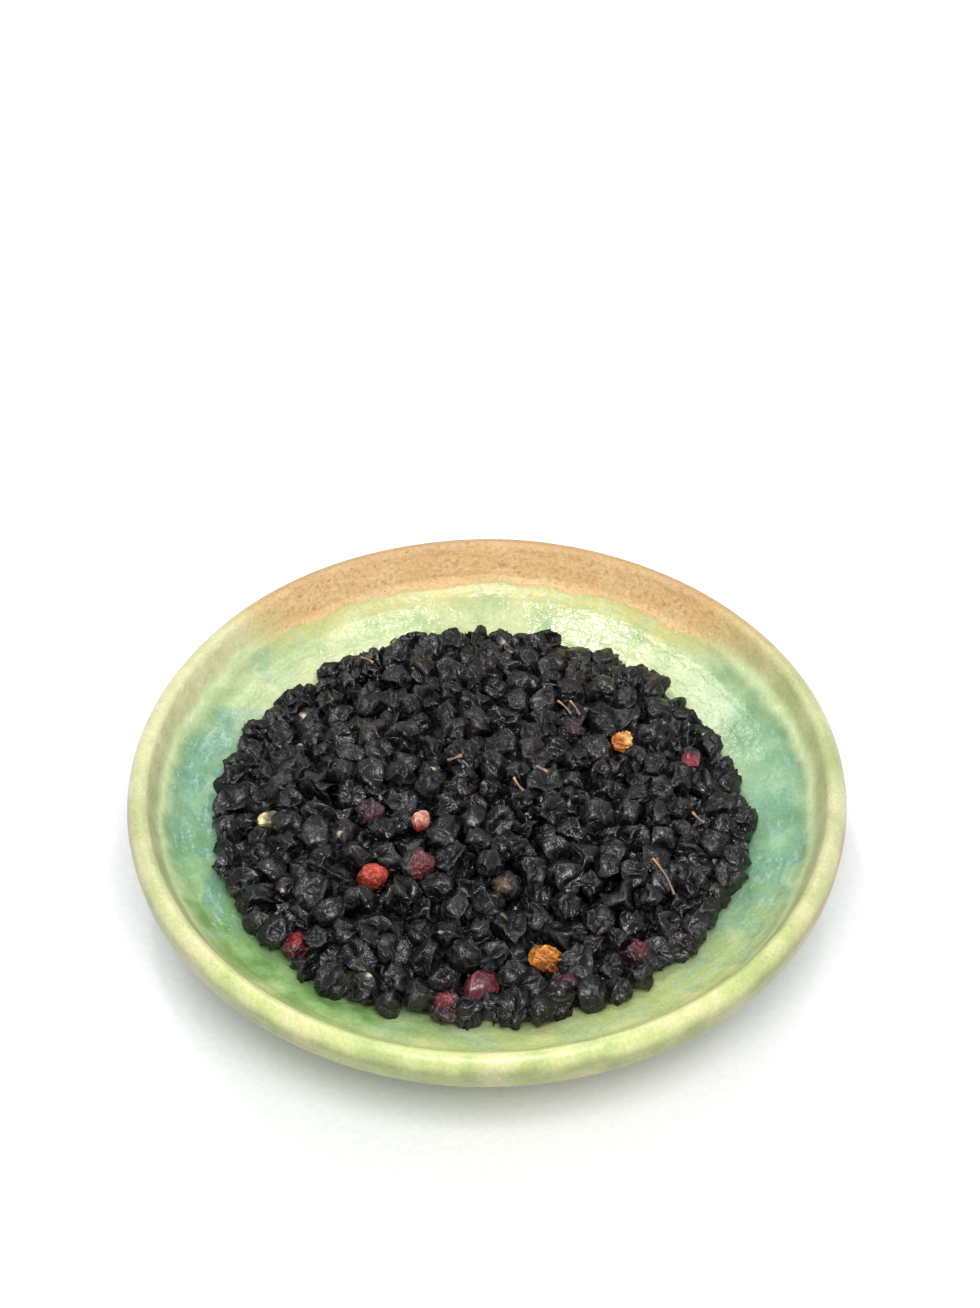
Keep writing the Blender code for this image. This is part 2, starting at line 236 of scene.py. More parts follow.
# Noises drawn out by the wheel and the pour: mm along the rim, mm outward, detail
RUNS = {
    "lip_waves": (6.0, 30.0, 5.0),
    "frit_lines": (3.2, 0.9, 5.0),
    "drip_lines": (1.1, 16.0, 4.0),
    "clay_streaks": (7.0, 2.0, 3.0),
    "wheel_ripple": (2.6, 1.0, 3.0),
}
RIM_WALK = 50.0

# How much a noise shifts an edge: the noise, the part of its range used, and the least and most
SHIFTS = {
    "pool_shift": ("pooling", 0.35, 0.65, -7.0, 7.0),
    "lip_shift": ("lip_waves", 0.3, 0.7, -1.0, 1.0),
    "frit_shift": ("grain", 0.2, 0.8, -0.06, 0.06),
    "wipe_shift": ("patchy", 0.3, 0.7, -2.0, 2.0),
}

# Measures with an uneven edge: what is shifted, by what, and how strongly
UNEVEN = {
    "pool_radius": ("radius", "pool_shift", 1.0),
    "crease_radius": ("radius", "lip_shift", 1.0),
    "rise": ("height", "lip_shift", 0.4),
    "broken_frit": ("frit_lines", "frit_shift", 1.0),
    "wipe_height": ("height", "wipe_shift", 1.0),
}

# Where each thing begins and is full, in its measure, and the least and most of it
FADES = {
    "low_wall": ("pool_radius", 50.0, 43.0, 0.0, 1.0),
    "frit_patches": ("patchy", 0.36, 0.56, 0.0, 1.0),
    "frit_runs": ("broken_frit", 0.54, 0.66, 0.0, 1.0),
    "drips": ("drip_lines", 0.58, 0.70, 0.0, 1.0),
    "crease_starts": ("crease_radius", 47.0, 49.0, 0.0, 1.0),
    "crease_ends": ("crease_radius", 50.6, 49.4, 0.0, 1.0),
    "crease_patches": ("mottle", 0.3, 0.7, 0.1, 0.6),
    "near_band": ("rise", 16.6, 18.8, 0.0, 1.0),
    "thin_glaze_and_fill_band": ("rise", 18.8, 20.8, 0.0, 1.0),
    "lip_band": ("rise", 20.6, 22.8, 0.0, 1.0),
    "dry_band": ("rise", 20.0, 22.0, 0.0, 1.0),
    "matt_band": ("rise", 17.6, 18.8, 0.0, 1.0),
    "seam_band": ("rise", 17.2, 18.8, 0.0, 1.0),
    "seam_patches": ("mottle", 0.3, 0.6, 0.3, 0.9),
    "clay_band": ("rise", 19.1, 19.7, 0.0, 1.0),
    "clay_stains": ("clay_streaks", 0.35, 0.65, 0.0, 0.5),
    # Paler clay low on the far rim wall is painted fill light
    "clay_low_painted_fill": ("rise", 21.4, 19.4, 0.0, 0.25),
    # Darker clay on the crown of the far rim is painted shade
    "clay_crown_painted_shade": ("rise", 23.6, 24.8, 0.0, 0.45),
    "turned_out": ("facing", 0.4, 0.7, 0.0, 1.0),
    "under_lip": ("rise", 24.4, 22.4, 0.0, 1.0),
    "under_foot": ("height", 6.4, 5.4, 0.0, 1.0),
    "wiped_low": ("wipe_height", 12.0, 6.5, 0.0, 1.0),
    "wiped_high": ("height", 20.6, 18.6, 0.0, 0.7),
    "line_starts": ("height", 21.4, 22.6, 0.0, 1.0),
    "line_ends": ("height", 24.8, 23.8, 0.0, 1.0),
    "line_patches": ("mottle", 0.34, 0.56, 0.0, 1.0),
    "pinhole_spots": ("speck", 0.08, 0.05, 0.0, 1.0),
    "pinhole_patches": ("mottle", 0.5, 0.6, 0.0, 1.0),
    "blister_spots": ("speck", 0.13, 0.07, 0.0, 1.0),
    "blister_patches": ("mottle", 0.5, 0.4, 0.0, 1.0),
    "gloss_patches": ("mottle", 0.3, 0.7, 0.05, 0.14),
}

# Sides of the dish: a level direction, and how far along it the side begins and is full, in mm
SIDES = {
    "right": (0.99, -0.12, 22, 44),
    "left": (-0.98, -0.2, 26, 46),
    "near_left": (-0.55, -0.83, 24, 47),
    "near_right": (0.45, -0.89, 26, 44),
    "left_wall": (-1.0, 0.05, 28, 42),
    "right_wall": (0.93, -0.36, 32, 44),
    "front_wall": (0.12, -1.0, 37, 42),
    "far_wall": (0.0, 1.0, 30, 40),
    "far_half": (-0.3, 0.95, -20, 30),
    "near": (0.0, -1.0, 10, 46),
    "upper_left": (-0.75, 0.66, 30, 48),
    "upper_right": (0.50, 0.87, 42, 50),
    "far": (0.03, 1.0, 30, 41),
    "wiped_side": (0.6, -0.8, 10, 45),
    "line_right": (0.8, 0.6, 8, 34),
    "line_left": (-0.6, 0.8, 8, 34),
}

# Marks that are the product of others
PRODUCTS = {
    "right_frit": ("right_wall", 0.85),
    "front_frit": ("front_wall", 0.5),
    "bare": ("clay_band", "far"),
    "outside": ("turned_out", "under_lip"),
    "pinholes": ("pinhole_spots", "pinhole_patches"),
    "blisters": ("blister_spots", "blister_patches"),
}

# Marks that are the greater of two others, in the order that they are made
GREATER = {
    "back_frit": ("left_wall", "right_frit"),
    "frit_sides": ("back_frit", "front_frit"),
    "line_sides": ("line_right", "line_left"),
    "thin_skin": ("outside", "under_foot"),
    "unglazed": ("bare", "under_foot"),
    "matt": ("matt_band", "outside"),
}

# Tones: the noise that mixes them, and where in it each colour lies
PALE_GREEN = ("patchy", (0.34, "#9CB07C"), (0.5, "#B2BD8C"), (0.66, "#C4CA9A"))
SEA_GREEN = ("patchy", (0.34, "#67906C"), (0.5, "#7AA07C"), (0.66, "#8EB08C"))
LEAF_GREEN = ("patchy", (0.34, "#5C8644"), (0.5, "#7A9E5E"), (0.66, "#98B67E"))
LIME = ("patchy", (0.36, "#A6B470"), (0.64, "#C0C484"))
TURQUOISE = ("mottle", (0.36, "#48806A"), (0.64, "#6C9888"))
NEAR_LIME = ("patchy", (0.34, "#A8BA78"), (0.66, "#C4CA8E"))
# Pale green of thin glaze on the inner rim wall, made paler still as painted fill light where that wall
# turns from the light
THIN_GLAZE_AND_FILL_GREEN = ("mottle", (0.34, "#BED29A"), (0.66, "#D4E0B0"))
CREAM = ("patchy", (0.34, "#A0AA74"), (0.5, "#B0B684"), (0.66, "#C2C096"))
NEAR_CREAM = ("patchy", (0.34, "#A4B270"), (0.5, "#B8C080"), (0.66, "#C6C490"))
PALE_CREAM = ("mottle", (0.34, "#C6C498"), (0.66, "#DCD6B0"))
DRY_TAN = ("mottle", (0.38, "#AEA070"), (0.62, "#C2AE80"))
BUFF_CLAY = ("clay_specks", (0.32, "#AE8856"), (0.42, "#C8A474"), (0.6, "#D2B484"))
OLIVE_SKIN = ("patchy", (0.34, "#7E8852"), (0.5, "#909662"), (0.66, "#A09E74"))
WIPED_CLAY = ("mottle", (0.34, "#8C7C64"), (0.66, "#A39378"))
SANDY = ("grain", (0.3, 0.40), (0.7, 0.60))

# Coats, in the order that they are laid: the layer that takes the coat, its tones, its one colour or
# the finished layer that it is, and the marks and strength whose product is its share
COATS = (
    ("glaze", PALE_GREEN, ()),
    ("glaze", SEA_GREEN, ("right",)),
    ("glaze", SEA_GREEN, ("left",)),
    ("glaze", LEAF_GREEN, ("near_left",)),
    ("glaze", LIME, ("near_right", 0.85)),
    ("glaze", TURQUOISE, ("frit_sides", "low_wall", "frit_patches", 0.7)),
    ("glaze", "#9FBBB0", ("frit_runs", "low_wall", "frit_sides", 0.5)),
    ("glaze", "#86AF8E", ("drips", "far_wall", 0.45)),
    # Darker olive in the crease on the far half is painted shade
    ("glaze", "#8A9A5C", ("crease_starts", "crease_ends", "far_half", "crease_patches")),
    ("glaze", NEAR_LIME, ("near", "near_band", 0.7)),
    # Thin glaze on the inner rim wall, made paler as painted fill light
    ("glaze", THIN_GLAZE_AND_FILL_GREEN, ("thin_glaze_and_fill_band",)),
    ("lip", CREAM, ()),
    ("lip", NEAR_CREAM, ("near",)),
    ("glaze", "lip", ("lip_band",)),
    ("glaze", PALE_CREAM, ("upper_left", "lip_band", 0.6)),
    ("glaze", DRY_TAN, ("dry_band", "upper_right")),
    ("glaze", "#BDB46E", ("seam_band", "far", "seam_patches")),
    ("clay", BUFF_CLAY, ()),
    ("clay", "#C69860", ("clay_stains",)),
    # Painted fill light: paler clay low on the rim wall
    ("clay", "#ECD09A", ("clay_low_painted_fill",)),
    # Painted shade: darker clay on the crown of the rim
    ("clay", "#A08058", ("clay_crown_painted_shade",)),
    ("glaze", "clay", ("bare",)),
    ("skin", OLIVE_SKIN, ()),
    ("skin", WIPED_CLAY, ("wiped_low",)),
    ("skin", WIPED_CLAY, ("wiped_side", "wiped_high")),
    ("skin", "#A37A44", ("line_starts", "line_ends", "line_sides", "line_patches")),
    ("glaze", "skin", ("thin_skin",)),
    ("glaze", "#5E6A3C", ("pinholes", 0.6)),
    ("glaze", "#D8DCC0", ("blisters", 0.4)),
)

# Relief: the marks whose product it follows, and its height in mm
RELIEF = (
    (("wheel_ripple",), 0.10),
    (("orange_peel",), 0.07),
    (("grain", "unglazed"), 0.14),
    (("blisters",), 0.05),
    (("pinholes",), -0.08),
)
SPECK_SPACING = 2.0
GRAIN_STRENGTH = 0.5
MATT_GLAZE = 0.34
BARE_CLAY_ROUGHNESS = 0.6

# Sockets of a Mix node: its factor, then its two numbers or its two colours
FACTOR = 0
NUMBER_A, NUMBER_B = 2, 3
COLOUR_A, COLOUR_B = 6, 7


def product(tree, marks, factors):
    """The product of marks, given by name, and plain numbers."""
    share, *others = [marks.get(factor, factor) for factor in factors]
    for other in others:
        share = add(tree, "Math", {0: share, 1: other}, operation="MULTIPLY")
    return share


def glaze_marks(tree, in_mm):
    """Everything that the glaze is placed by: measures on the dish, noises, bands, sides and spots."""
    flat = add(tree, "VectorMath", {0: in_mm, 1: (1, 1, 0)}, operation="MULTIPLY")
    radius = add(tree, "VectorMath", {0: flat}, operation="LENGTH")
    outward = add(tree, "VectorMath", {0: flat}, operation="NORMALIZE")
    normal = add(tree, "NewGeometry").node.outputs["Normal"]
    marks = {
        "height": add(tree, "SeparateXYZ", {0: in_mm}).node.outputs["Z"],
        "radius": radius,
        "facing": add(tree, "VectorMath", {0: normal, 1: outward}, operation="DOT_PRODUCT"),
        "speck": add(tree, "TexVoronoi", {"Vector": in_mm, "Scale": 1 / SPECK_SPACING}),
    }
    # Places on the wheel: two steps along the rim and one from the axis outward, all in mm.
    reach = add(tree, "CombineXYZ", {"Z": radius})
    wheel = {0: outward, 1: (RIM_WALK, RIM_WALK, 0), 2: reach}
    wheel = add(tree, "VectorMath", wheel, operation="MULTIPLY_ADD")
    for name, (size, detail, shift) in CLOUDS.items():
        spot = add(tree, "VectorMath", {0: in_mm, 1: shift}, operation="ADD")
        marks[name] = add(tree, "TexNoise", {"Vector": spot, "Scale": 1 / size, "Detail": detail})
    for name, (along, across, detail) in RUNS.items():
        stretch = (1 / along, 1 / along, 1 / across)
        spot = add(tree, "VectorMath", {0: wheel, 1: stretch}, operation="MULTIPLY")
        marks[name] = add(tree, "TexNoise", {"Vector": spot, "Scale": 1.0, "Detail": detail})
    for name, (measure, low, high, least, most) in SHIFTS.items():
        limits = {"Value": marks[measure], "From Min": low, "From Max": high}
        limits.update({"To Min": least, "To Max": most})
        marks[name] = add(tree, "MapRange", limits, interpolation_type="SMOOTHSTEP")
    for name, (measure, shift, strength) in UNEVEN.items():
        terms = {0: marks[shift], 1: strength, 2: marks[measure]}
        marks[name] = add(tree, "Math", terms, operation="MULTIPLY_ADD")
    for name, (measure, low, high, least, most) in FADES.items():
        limits = {"Value": marks[measure], "From Min": low, "From Max": high}
        limits.update({"To Min": least, "To Max": most})
        marks[name] = add(tree, "MapRange", limits, interpolation_type="SMOOTHSTEP")
    for name, (x, y, start, full) in SIDES.items():
        along = add(tree, "VectorMath", {0: in_mm, 1: (x, y, 0)}, operation="DOT_PRODUCT")
        limits = {"Value": along, "From Min": start, "From Max": full}
        marks[name] = add(tree, "MapRange", limits, interpolation_type="SMOOTHSTEP")
    for name, factors in PRODUCTS.items():
        marks[name] = product(tree, marks, factors)
    for name, (one, other) in GREATER.items():
        marks[name] = add(tree, "Math", {0: marks[one], 1: marks[other]}, operation="MAXIMUM")
    return marks


def glaze_material():
    """Gloss glaze poured over buff clay: it pools green in the well and breaks to cream on the lip.

    The eye sees wet gloss and clouds of green, with turquoise frit and bluish runs low on the wall.
    On the far side the pour stopped short of the lip, so the matt, speckled clay shows there.
    """
    material, tree, shader, in_mm = start_material("gloss_glazed_earthenware", IOR=1.5, Metallic=0.0)
    marks = glaze_marks(tree, in_mm)
    layers = {}
    for layer, coat, factors in COATS:
        if coat in layers:
            colour = layers[coat]
        elif isinstance(coat, str):
            colour = rgb(coat)
        else:
            colour = set_stops(add(tree, "ValToRGB", {0: marks[coat[0]]}), coat[1:])
        if factors:
            sockets = {FACTOR: product(tree, marks, factors), COLOUR_A: layers[layer], COLOUR_B: colour}
            colour = add(tree, "Mix", sockets, data_type="RGBA")
        layers[layer] = colour
    sand = set_stops(add(tree, "ValToRGB", {0: marks[SANDY[0]]}), SANDY[1:])
    sanded = {FACTOR: GRAIN_STRENGTH, COLOUR_A: layers["glaze"], COLOUR_B: sand}
    colour = add(tree, "Mix", sanded, data_type="RGBA", blend_type="OVERLAY")
    tree.links.new(colour, shader.inputs["Base Color"])
    rough = {FACTOR: marks["matt"], NUMBER_A: marks["gloss_patches"], NUMBER_B: MATT_GLAZE}
    rough = add(tree, "Mix", rough, data_type="FLOAT")
    rough = {FACTOR: marks["unglazed"], NUMBER_A: rough, NUMBER_B: BARE_CLAY_ROUGHNESS}
    rough = add(tree, "Mix", rough, data_type="FLOAT")
    tree.links.new(rough, shader.inputs["Roughness"])
    relief = 0.0
    for factors, height in RELIEF:
        terms = {0: product(tree, marks, factors), 1: height, 2: relief}
        relief = add(tree, "Math", terms, operation="MULTIPLY_ADD")
    bump = add(tree, "Bump", {"Height": relief, "Distance": MM})
    tree.links.new(bump, shader.inputs["Normal"])
    return material


# Dried fruit skin and stalk

BLOTCHES_PER_MM = 0.9
SWAYS_PER_MM = 0.7
SWAY_REACH = 1.6
WEB_MM = 2.0
WRINKLE_MM = 0.34
# Paler wrinkle crests: partly rubbed bloom, partly a painted highlight
CREST_BLOOM_AND_HIGHLIGHT_GAIN = 1.7
CREST_BLOOM_AND_HIGHLIGHT_GREY = 0.008
ROUGH_GAIN = 0.35
FIBRES_PER_MM = 3.5
FIBRE_RELIEF = 0.06


def skin_material(name, relief_mm=0.025, web_relief_mm=0.06):
    """Dried fruit skin: a waxy bloom and a painted sheen give dark folds a soft grey.

    Colour and roughness come from each berry's own points. Thin wrinkles stand 2 mm apart on the
    skin, paler on their crests from rubbed bloom and a painted highlight, with finer ones between them.
    """
    material, tree, shader, in_mm = start_material(name, IOR=1.45, Metallic=0.0)
    tint = add(tree, "Attribute", attribute_name="skin")
    gloss = tint.node.outputs["Alpha"]
    blotch = add(tree, "TexNoise", {"Vector": in_mm, "Scale": BLOTCHES_PER_MM, "Detail": 4.0})
    shade = {"Value": blotch, "From Min": 0.3, "From Max": 0.7, "To Min": 0.65, "To Max": 1.3}
    shade = add(tree, "MapRange", shade)
    colour = add(tree, "VectorMath", {0: tint, "Scale": shade}, operation="SCALE")
    # Wrinkles are the borders of bent cells.
    sway = add(tree, "TexNoise", {"Vector": in_mm, "Scale": SWAYS_PER_MM, "Detail": 2.0})
    sway = sway.node.outputs["Color"]
    bent = add(tree, "VectorMath", {0: sway, 1: [SWAY_REACH] * 3, 2: in_mm}, operation="MULTIPLY_ADD")
    web = {"Vector": bent, "Scale": 1 / WEB_MM}
    web = add(tree, "TexVoronoi", web, feature="DISTANCE_TO_EDGE")
    crest = {"Value": web, "From Min": 0.01, "From Max": 0.10, "To Min": 1.0, "To Max": 0.0}
    crest = add(tree, "MapRange", crest, interpolation_type="SMOOTHSTEP")
    # Crests paler: rubbed bloom and painted highlight
    crest_bloom_and_highlight = {0: colour, 1: [CREST_BLOOM_AND_HIGHLIGHT_GAIN] * 3, 2: [CREST_BLOOM_AND_HIGHLIGHT_GREY] * 3}
    crest_bloom_and_highlight = add(tree, "VectorMath", crest_bloom_and_highlight, operation="MULTIPLY_ADD")
    colour = add(tree, "Mix", {FACTOR: crest, COLOUR_A: colour, COLOUR_B: crest_bloom_and_highlight}, data_type="RGBA")
    tree.links.new(colour, shader.inputs["Base Color"])
    fine = {"Vector": in_mm, "Scale": 1 / WRINKLE_MM, "Detail": 3.0, "Distortion": 0.6}
    fine = add(tree, "TexNoise", fine)
    rough = add(tree, "Math", {0: fine, 1: ROUGH_GAIN, 2: gloss}, operation="MULTIPLY_ADD")
    tree.links.new(rough, shader.inputs["Roughness"])
    folds = add(tree, "Bump", {"Height": crest, "Distance": web_relief_mm * MM})
    bump = add(tree, "Bump", {"Height": fine, "Distance": relief_mm * MM, "Normal": folds})
    tree.links.new(bump, shader.inputs["Normal"])
    return material


def stalk_material():
    """Dry woody stalk: pale brown fibres with a straw-coloured tip, matt and finely furrowed."""
    material, tree, shader, in_mm = start_material(
        "dry_stalk_wood", IOR=1.5, Metallic=0.0, Roughness=0.68
    )
    tint = add(tree, "Attribute", attribute_name="skin")
    fibre = add(tree, "TexNoise", {"Vector": in_mm, "Scale": FIBRES_PER_MM, "Detail": 4.0})
    shade = {"Value": fibre, "From Min": 0.3, "From Max": 0.7, "To Min": 0.7, "To Max": 1.2}
    shade = add(tree, "MapRange", shade)
    colour = add(tree, "VectorMath", {0: tint, "Scale": shade}, operation="SCALE")
    tree.links.new(colour, shader.inputs["Base Color"])
    bump = add(tree, "Bump", {"Height": fibre, "Distance": FIBRE_RELIEF * MM})
    tree.links.new(bump, shader.inputs["Normal"])
    return material


# The dish


def well_height(radius):
    return WELL_FLOOR + WELL_DEPTH * (radius / WELL_RADIUS) ** WELL_POWER


def well_slope(radius):
    return WELL_DEPTH * WELL_POWER / WELL_RADIUS * (radius / WELL_RADIUS) ** (WELL_POWER - 1)


def curve_through(points, spacing):
    """A smooth curve through the points, sampled about so many millimetres apart."""
    points = [np.array(p, float) for p in points]
    ends = [2 * points[0] - points[1], *points, 2 * points[-1] - points[-2]]
    curve = []
    for a, b, c, d in zip(ends, ends[1:], ends[2:], ends[3:]):
        steps = max(1, round(np.linalg.norm(c - b) / spacing))
        for t in np.arange(steps) / steps:
            curve.append(
                0.5 * (2 * b + (c - a) * t + (2 * a - 5 * b + 4 * c - d) * t**2)
                + 0.5 * (3 * b - a - 3 * c + d) * t**3
            )
    return curve + [points[-1]]


def quarter_round(centre, width, height, start_degrees, end_degrees, steps):
    """Part of an ellipse, as rows of radius and height."""
    turns = np.radians(np.linspace(start_degrees, end_degrees, steps))
    return [centre + np.array([width * math.cos(a), height * math.sin(a)]) for a in turns]


def dish_section(rim, top):
    """Half the dish's section: one row of points down the outside and under, one from the well up."""
    crown = rim - CROWN_INSET
    outside = quarter_round(np.array([crown, top - LIP_DROP]), CROWN_INSET, LIP_DROP, 88, 0, 10)
    belly = [
        outside[-1],
        (rim - 1.0, top - 6.2),
        (48.2, 14.6),
        (37.5, 9.0),
        (FOOT_OUTER + 2.0, 4.9),
        (FOOT_OUTER, 3.4),
        (FOOT_OUTER - 0.2, 0.5),
        (FOOT_OUTER - 0.7, 0.0),
    ]
    under = [
        (FOOT_INNER + 0.7, 0.0),
        (FOOT_INNER + 0.2, 0.5),
        (FOOT_INNER - 0.4, FOOT_RECESS - 0.3),
        (FOOT_INNER - 2.4, FOOT_RECESS),
    ]
    floor = [(r, FOOT_RECESS) for r in np.arange(FOOT_INNER - 4.0, 1.0, -2.0)] + [(0.0, FOOT_RECESS)]
    well = [(r, well_height(r)) for r in np.linspace(0, CREASE_RADIUS - 2.6, WELL_ROWS)]
    rim_wall = [
        well[-1],
        (CREASE_RADIUS - 0.7, well_height(CREASE_RADIUS) + 0.3),
        (CREASE_RADIUS + 0.6, top - 4.1),
        (CREASE_RADIUS + 1.7, top - 2.0),
        (crown - 0.8, top - 0.5),
        (crown, top),
    ]
    outside = outside[:-1] + curve_through(belly, BELLY_SPACING)
    outside = outside + curve_through(under, FOOT_SPACING) + floor
    inside = well + curve_through(rim_wall, LIP_SPACING)[1:]
    return np.array(outside), np.array(inside)


def throwing_marks(points):
    """Moves the turned surface a little: slow waves of the hand and fine rings of the fingers.

    Both fade out toward the middle of the well and toward the foot, which stays flat.
    """
    moved = points.copy()
    radius = np.hypot(points[:, 0], points[:, 1])
    for index, (x, y, z) in enumerate(points):
        wave = noise.noise(Vector((x / WAVE_LENGTH, y / WAVE_LENGTH, z / 9 + 4)))
        ring = math.sin(radius[index] * RING_RADIANS_PER_MM + 0.8 * wave + math.atan2(y, x))
        fade = min(1.0, radius[index] / 20) * min(1.0, max(0.0, z - 1.0) / 3)
        moved[index, 2] += fade * (WAVE_LIFT * wave + RING_LIFT * ring)
        if radius[index] > RIM_FROM_RADIUS and z > RIM_FROM_HEIGHT:
            bulge = noise.noise(Vector((x / RIM_WAVE_LENGTH + 9, y / RIM_WAVE_LENGTH, z / 6)))
            moved[index, :2] *= 1 + RIM_OUT_OF_ROUND * bulge / radius[index]
    return moved


def make_dish(material):
    """The dish, turned from its section. Both rows of the section end in a pole on the axis."""
    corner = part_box("dish")[1]
    outside, inside = dish_section(corner.x / MM, corner.z / MM)
    angles = np.arange(TURN_STEPS) * 2 * np.pi / TURN_STEPS
    section = np.vstack([outside[:-1], inside[1:]])
    rows = len(section)
    around = np.stack(
        [
            section[:, None, 0] * np.cos(angles),
            section[:, None, 0] * np.sin(angles),
            np.broadcast_to(section[:, None, 1], (rows, TURN_STEPS)),
        ],
        axis=2,
    )
    points = np.vstack([around.reshape(-1, 3), [[0, 0, outside[-1, 1]], [0, 0, inside[0, 1]]]])
    under_pole = len(points) - 2
    well_pole = len(points) - 1
    last_under = len(outside) - 2
    faces = []
    for step in range(TURN_STEPS):
        ahead = (step + 1) % TURN_STEPS
        for row in range(rows):
            this_row = row * TURN_STEPS
            next_row = (row + 1) % rows * TURN_STEPS
            if row == last_under:
                faces.append((this_row + step, under_pole, this_row + ahead))
                faces.append((well_pole, next_row + step, next_row + ahead))
            else:
                faces.append((this_row + step, next_row + step, next_row + ahead, this_row + ahead))
    mesh = bpy.data.meshes.new("glazed_dish")
    mesh.from_pydata((throwing_marks(points) * MM).tolist(), [], faces)
    mesh.materials.append(material)
    mesh.shade_smooth()
    face_outward(mesh)
    dish = bpy.data.objects.new("glazed_dish", mesh)
    bpy.context.scene.collection.objects.link(dish)
    return dish


# The heap


def dome_height(places):
    """Height of the low dome that the heap's top follows, at places given as rows of x and y."""
    inward = 1 - (((places - HEAP_CENTRE) / HEAP_REACH) ** 2).sum(axis=1)
    return HEAP_RIM + HEAP_CROWN * inward


def push_apart(centres, radii, pairs, free):
    """Moves free berries out of one another, a share of the overlap at a time."""
    first, second = pairs
    apart = centres[first] - centres[second]
    distance = np.maximum(np.sqrt((apart**2).sum(axis=1)), 1e-6)
    overlap = np.maximum(BERRY_TOUCH * (radii[first] + radii[second]) - distance, 0)
    push = apart * (SETTLE_PUSH * overlap / distance)[:, None]
    for axis in range(3):
        shift = np.bincount(first, push[:, axis], len(radii))
        shift -= np.bincount(second, push[:, axis], len(radii))
        centres[free, axis] += shift[free]


def keep_in_heap(centres, radii, free, ceiling, reach):
    """Holds free berries under the dome, inside the heap's outline and out of the dish."""
    places = centres[:, :2]
    top = dome_height(places) + ceiling - radii
    centres[free, 2] = np.minimum(centres[free, 2], top[free])
    outward = np.sqrt((((places - HEAP_CENTRE) / (HEAP_REACH - radii[:, None])) ** 2).sum(axis=1))
    outward /= reach
    pull = np.where(free & (outward > 1), outward, 1.0)[:, None]
    centres[:, :2] = HEAP_CENTRE + (places - HEAP_CENTRE) / pull
    radius = np.maximum(np.hypot(centres[:, 0], centres[:, 1]), 1e-6)
    slope = well_slope(radius)
    steep = np.hypot(1, slope)
    sunk = np.where(free, np.maximum(radii - (centres[:, 2] - well_height(radius)) / steep, 0), 0)
    centres[:, 2] += sunk / steep
    centres[:, :2] -= centres[:, :2] * (sunk * slope / steep / radius)[:, None]


def settle_berries(rng, pinned, pinned_radii):
    """Centres and radii of all the berries: the frame's single ones first, held where they are.

    The loose ones start anywhere under the dome and are pushed apart round by round. Each has its
    own ceiling and reach, so the heap's top and edge are uneven.
    """
    sizes = np.clip(rng.normal(BERRY_MEAN, BERRY_SPREAD, LOOSE_BERRIES), *BERRY_LIMITS)
    angle = rng.uniform(0, 2 * np.pi, LOOSE_BERRIES)
    outward = np.sqrt(rng.uniform(0, 1, LOOSE_BERRIES) ** 1.25)
    round_places = np.column_stack([outward * np.cos(angle), outward * np.sin(angle)])
    places = HEAP_CENTRE + (HEAP_REACH - 2) * round_places
    low = well_height(np.hypot(places[:, 0], places[:, 1])) + 2
    heights = low + rng.uniform(0, 1, LOOSE_BERRIES) * np.maximum(dome_height(places) - 2 - low, 0)
    centres = np.vstack([pinned, np.column_stack([places, heights])])
    radii = np.concatenate([pinned_radii, sizes / 2])
    free = np.arange(len(radii)) >= len(pinned)
    ceiling = rng.uniform(*CEILING_RANGE, len(radii))
    reach = rng.uniform(*REACH_RANGE, len(radii))
    for step in range(SETTLE_ROUNDS):
        if step % NEIGHBOUR_ROUNDS == 0:
            spread = np.sqrt(((centres[:, None] - centres[None]) ** 2).sum(axis=2))
            near = spread < radii[:, None] + radii[None] + NEIGHBOUR_GAP
            pairs = np.nonzero(np.triu(near, 1))
        push_apart(centres, radii, pairs, free)
        centres[free, 2] -= SETTLE_FALL
        keep_in_heap(centres, radii, free, ceiling, reach)
        # Rounding keeps the heap the same on every computer.
        centres = np.round(centres, 6)
    return centres, radii


def open_share(centres, radii):
    """For each berry, the share of directions over the horizon that no other berry blocks."""
    # Rings of directions: degrees from straight up, how many, and the first one's bearing
    rings = ((0, 1, 0), (25, 3, 0), (50, 5, 0), (72, 6, 30))
    ways = [(tilt, first + 360 * k / count) for tilt, count, first in rings for k in range(count)]
    tilt, turn = np.radians(ways).T
    rays = np.column_stack([np.sin(tilt) * np.cos(turn), np.sin(tilt) * np.sin(turn), np.cos(tilt)])
    apart = centres[None] - centres[:, None]
    reach = (apart**2).sum(axis=2)
    free = np.zeros(len(radii))
    for ray in rays:
        along = apart @ ray
        miss = reach - along**2
        blocked = (along > 0) & (miss < (SHADOW_SHARE * radii[None]) ** 2) & (reach > 0)
        free += ~blocked.any(axis=1)
    return free / len(rays)


# Shrunken berry shapes


def ball_points(subdivisions):
    """Points on a unit ball and its triangles."""
    bm = bmesh.new()
    bmesh.ops.create_icosphere(bm, subdivisions=subdivisions, radius=1.0)
    points = np.array([v.co for v in bm.verts])
    faces = np.array([[v.index for v in f.verts] for f in bm.faces])
    bm.free()
    return points, faces


def random_turn(rng):
    """A random rotation matrix."""
    turn, upper = np.linalg.qr(rng.normal(size=(3, 3)))
    turn *= np.sign(np.diag(upper))
    return turn * np.sign(np.linalg.det(turn))


def random_ways(rng, count):
    """Random unit vectors, as rows."""
    ways = rng.normal(size=(count, 3))
    return ways / np.linalg.norm(ways, axis=1)[:, None]


